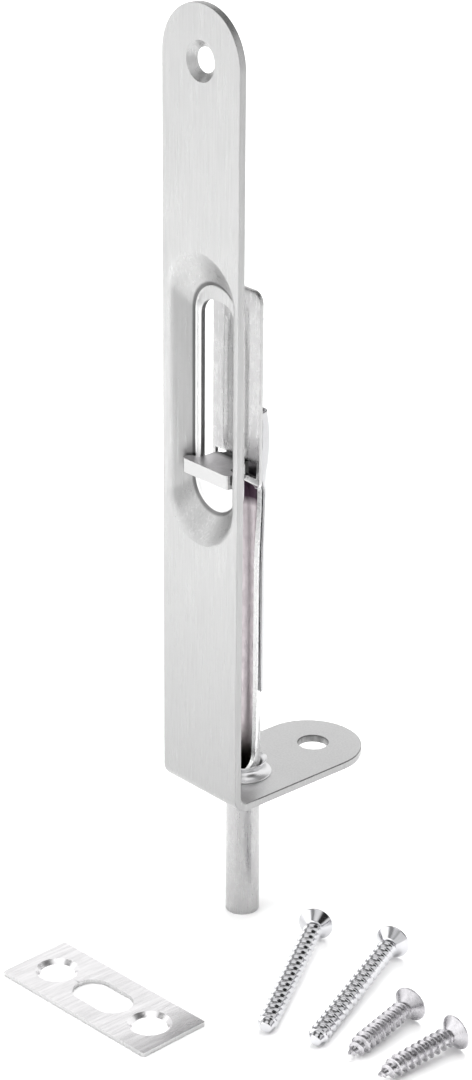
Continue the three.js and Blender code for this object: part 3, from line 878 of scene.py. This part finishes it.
def plate_materials():
    """Front, back and cut edges of the face plate. The front is satin steel that painted shade darkens
    downwards, with painted light and shade round the dish and on the foot's rims.
    """
    grain, relief = (0.12, 0.12, 3.5), 0.006
    painted_land_highlight_grey, painted_crease_shade_grey, painted_low_shade_grey, painted_rim_reflection_grey = 0.8, 0.14, 0.36, 0.12
    front = brushed("satin_steel", grey(0.44), 0.33, grain, relief)
    # A painted highlight makes the flat land round the finger slot bright, except above the slot.
    on_land = front.across("Y", frame_y(3.9), frame_y(4.05))
    below_top = front.across("Z", frame_z(95), frame_z(93))
    front.tint(front.between(on_land, below_top), grey(painted_land_highlight_grey))
    # A dark line of painted shade lies in the crease between the dish's wall and its land.
    above_crease = front.across("Y", frame_y(3.4), frame_y(3.65))
    below_crease = front.across("Y", frame_y(3.97), frame_y(3.92))
    front.tint(front.between(above_crease, below_crease), grey(painted_crease_shade_grey))
    # Painted shade darkens the front steadily from 70 mm down to the foot's underside.
    front.tint(front.across("Z", frame_z(70), frame_z(0)), grey(painted_low_shade_grey))
    # Both rims of the foot's edge are dark with a painted reflection. Each is a band between two heights.
    on_foot = front.across("Y", frame_y(4), frame_y(6))
    rim_edge = 0.03
    for lower, upper in ((1.3, 1.47), (0.03, 0.15)):
        above = front.across("Z", frame_z(lower), frame_z(lower + rim_edge))
        below = front.across("Z", frame_z(upper), frame_z(upper - rim_edge))
        front.tint(front.between(front.between(above, below), on_foot), grey(painted_rim_reflection_grey))
    # The back is the same steel painted much paler than the front: painted light.
    back = brushed("satin_steel_back", grey(0.74), 0.36, grain, relief)
    edge = rolled("cut_edge_steel", grey(0.3), 0.4, grey(0.15))
    return [front.material, back.material, edge.material]


def strike_materials():
    """Faces and cut edges of the strike plate, whose grain runs across it. Painted shade darkens one end.
    """
    face = brushed("bright_grained_steel", (0.93, 0.92, 0.93), 0.2, (0.2, 4.0, 0.2), 0.003, streak=0.96)
    shaded_end_from, shaded_end_to = 0.0195, 0.027
    # Painted shade darkens the plate's end past 19.5 mm along X.
    face.tint(face.across("X", shaded_end_from, shaded_end_to), (0.6, 0.59, 0.6))
    edge = rolled("strike_edge_steel", grey(0.52), 0.3, grey(0.44))
    return [face.material, edge.material]


def bolt_materials():
    """Outside and inside of the bolt's sheet. Painted light makes the tube paler than the blade, and
    painted shade darkens the blade's groove and both ends of the channel.
    """
    painted_tube_highlight_grey, painted_groove_shade_grey = 0.85, 0.3
    outside = rolled("mill_steel", grey(0.45), 0.28, (0.4, 0.39, 0.4))
    # Painted highlight: the tube below the blade is made much paler than the blade.
    tube_foot = outside.across("Z", frame_z(0), frame_z(3))
    tube_top = outside.across("Z", frame_z(63), frame_z(61))
    outside.tint(outside.between(tube_foot, tube_top), grey(painted_tube_highlight_grey))
    # Painted shade darkens the blade's groove.
    in_groove = outside.across("X", (GROOVE_HALF - 0.1) * MM, (GROOVE_HALF - 0.7) * MM, both_sides=True)
    above = outside.across("Z", frame_z(66.5), frame_z(68.5))
    below = outside.across("Z", frame_z(97), frame_z(88))
    outside.tint(outside.between(outside.between(in_groove, above), below), grey(painted_groove_shade_grey))
    inside = rolled("mottled_steel", (0.62, 0.57, 0.59), 0.34, (0.45, 0.4, 0.43))
    # Painted shade darkens the inside of the channel's top end, under the step into the blade.
    inside.tint(inside.across("Z", frame_z(54.8), frame_z(56.6)), (0.05, 0.03, 0.045))
    # Painted shade darkens the inside of the channel's foot, where it closes into the tube.
    inside.tint(inside.across("Z", frame_z(11), frame_z(4)), (0.12, 0.11, 0.1))
    return [outside.material, inside.material]


def tab_materials():
    """Edges and flat faces of the thumb tab. Behind the slot painted shade makes it nearly black."""
    finishes = [
        polished("polished_steel", grey(0.46), 0.12),
        rolled("sheared_steel", (0.66, 0.65, 0.66), 0.4, (0.56, 0.55, 0.56)),
    ]
    for finish in finishes:
        # Painted shade: from 6.6 mm behind the plate's front the tab is nearly black.
        finish.tint(finish.across("Y", frame_y(6.6), frame_y(7.8)), grey(0.03))
    return [finish.material for finish in finishes]


# ---- making the pieces ----
# One turn of a screw's thread: how far along the turn, and the height there as a share of the crest's.
RIDGE = [
    (0.0, 0), (0.12, 0), (0.24, 0.02), (0.31, 0.2), (0.39, 0.62), (0.46, 0.95), (0.5, 1.0), (0.54, 0.95),
    (0.61, 0.62), (0.69, 0.2), (0.76, 0.02), (0.88, 0),
]
# Radii of root, crest and tip. taper and fade are the lengths over which core and thread shrink to the tip.
LONG = {
    "root": 1.45, "crest": 1.85, "pitch": 1.8, "tip": 0.85, "taper": 1.5, "sharpness": 0.5, "fade": 1.2,
}
SHORT = {
    "root": 1.3, "crest": 1.95, "pitch": 1.5, "tip": 0.12, "taper": 4.4, "sharpness": 0.65, "fade": 2.6,
}
BUSH_STEEL = polished("flared_steel", (0.88, 0.88, 0.89), 0.3).material
SPRING_STEEL = polished("spring_steel", (0.5, 0.5, 0.51), 0.17).material
# The spring's face towards the bolt is a much darker steel: painted shade, which keeps the blade's window
# dark.
SPRING_INSIDE_SHADE = rolled("spring_inside_painted_shade", (0.2, 0.19, 0.2), 0.35, (0.14, 0.13, 0.14)).material
SCREW_ZINC = polished("bright_zinc", (0.62, 0.62, 0.64), 0.1, relief=0.0012).material
SCREW_DULL = rolled("dull_zinc", (0.55, 0.54, 0.56), 0.26, (0.42, 0.41, 0.43), relief=0.03).material

make_face_plate(plate_materials())
make_guide_bush([BUSH_STEEL])
make_bolt_bar(bolt_materials())
make_thumb_tab(tab_materials())
make_leaf_spring([SPRING_STEEL, SPRING_INSIDE_SHADE])
make_strike_plate(strike_materials())
for number in ("1", "2"):
    make_screw("long_screw_" + number, [SCREW_ZINC], LONG)
for number in ("1", "2"):
    make_screw("short_screw_" + number, [SCREW_DULL], SHORT)


# ---- floor, light and camera ----
FLOOR = {"side": 2.6, "middle": (-0.4, 0.45)}
# Soft-edged patches of the studio. Each has an azimuth, elevation, radius and softness of its edge, all in
# degrees, then how bright it is against the rest of the studio.
PANELS = [
    (138, 12, 44, 12, 1.05), (0, 90, 52, 5, 0.2), (-110, 12, 42, 10, 1.9), (4, 36, 24, 4, 0.03),
    (-40, 72, 28, 6, 6.0),
]
# Square lamps that shine straight down: name, place, side in metres, and power in watts.
LAMPS = [
    ("left_lamp", (-0.07, -0.27, 0.05), 0.15, 0.45), ("far_left_lamp", (-0.5, -0.44, 0.3), 0.3, 1.8),
    ("right_lamp", (0.14, 0.13, 0.35), 0.35, 1.4), ("backdrop_lamp", (-0.5, 0.55, 0.8), 0.6, 11.0),
]
# The camera's angles are in degrees. It looks from the azimuth, turned by the roll about its own axis.
CAMERA = {"place": (0.39462, -0.3469, 0.16394), "azimuth": 48.09, "elevation": 23.85, "roll": 0.39}
CAMERA_LENS, CAMERA_SENSOR = 106.7, 36.0


def make_floor():
    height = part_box("strike_plate")[0].z
    bpy.ops.mesh.primitive_plane_add(size=FLOOR["side"], location=(*FLOOR["middle"], height))
    floor = bpy.context.object
    floor.name = "floor"
    finish = Finish("pale_floor", grey(0.93), 0.85)
    finish.shader.inputs["Metallic"].default_value = 0.0
    grain = finish.noise(grey(60), detail=1.0)
    finish.tint(finish.spread(grain, 0.0, 1.0), grey(0.95))
    floor.data.materials.append(finish.material)


def make_lamp(name, place, size, watts):
    """A lamp for the floor. Neither the camera nor the metal sees it."""
    data = bpy.data.lights.new(name, "AREA")
    data.shape = "SQUARE"
    data.size = size
    data.energy = watts
    light = bpy.data.objects.new(name, data)
    light.location = place
    light.visible_camera = False
    light.visible_glossy = False
    bpy.context.scene.collection.objects.link(light)


def direction(azimuth, elevation):
    """A unit vector. Azimuth is in degrees from +X towards +Y."""
    a, e = math.radians(azimuth), math.radians(elevation)
    return Vector((math.cos(a) * math.cos(e), math.sin(a) * math.cos(e), math.sin(e)))


def make_world():
    """A pale studio all round. Its dark and bright patches give the metal its contrast."""
    world = bpy.data.worlds.new("studio")
    world.use_nodes = True
    tree = world.node_tree
    background = tree.nodes["Background"]
    background.inputs["Color"].default_value = (1.0, 1.0, 1.0, 1.0)
    ray = tree.nodes.new("ShaderNodeTexCoord").outputs["Generated"]
    level = None
    for azimuth, elevation, radius, edge, brightness in PANELS:
        dot = tree.nodes.new("ShaderNodeVectorMath")
        dot.operation = "DOT_PRODUCT"
        dot.inputs[1].default_value = direction(azimuth, elevation)
        tree.links.new(ray, dot.inputs[0])
        step = tree.nodes.new("ShaderNodeMapRange")
        step.interpolation_type = "SMOOTHSTEP"
        step.inputs["From Min"].default_value = math.cos(math.radians(radius + edge))
        step.inputs["From Max"].default_value = math.cos(math.radians(radius - edge))
        step.inputs["To Min"].default_value = 1.0
        step.inputs["To Max"].default_value = brightness
        tree.links.new(dot.outputs["Value"], step.inputs["Value"])
        if level is None:
            level = step.outputs["Result"]
        else:
            product = tree.nodes.new("ShaderNodeMath")
            product.operation = "MULTIPLY"
            tree.links.new(level, product.inputs[0])
            tree.links.new(step.outputs["Result"], product.inputs[1])
            level = product.outputs["Value"]
    tree.links.new(level, background.inputs["Strength"])
    bpy.context.scene.world = world


def make_camera():
    roll = math.radians(CAMERA["roll"])
    data = bpy.data.cameras.new("camera")
    data.sensor_width = CAMERA_SENSOR
    data.lens = CAMERA_LENS
    data.clip_start, data.clip_end = 0.01, 20.0
    camera = bpy.data.objects.new("camera", data)
    bpy.context.scene.collection.objects.link(camera)
    back = direction(CAMERA["azimuth"] - 90, CAMERA["elevation"])
    right = (-back).cross(Vector((0, 0, 1))).normalized()
    up = right.cross(-back)
    tilted_right = right * math.cos(roll) + up * math.sin(roll)
    tilted_up = up * math.cos(roll) - right * math.sin(roll)
    turn = Matrix((tilted_right, tilted_up, back)).transposed().to_4x4()
    camera.matrix_world = Matrix.Translation(CAMERA["place"]) @ turn
    bpy.context.scene.camera = camera


bpy.context.scene.view_settings.view_transform = "Standard"
make_floor()
make_world()
for lamp in LAMPS:
    make_lamp(*lamp)
make_camera()
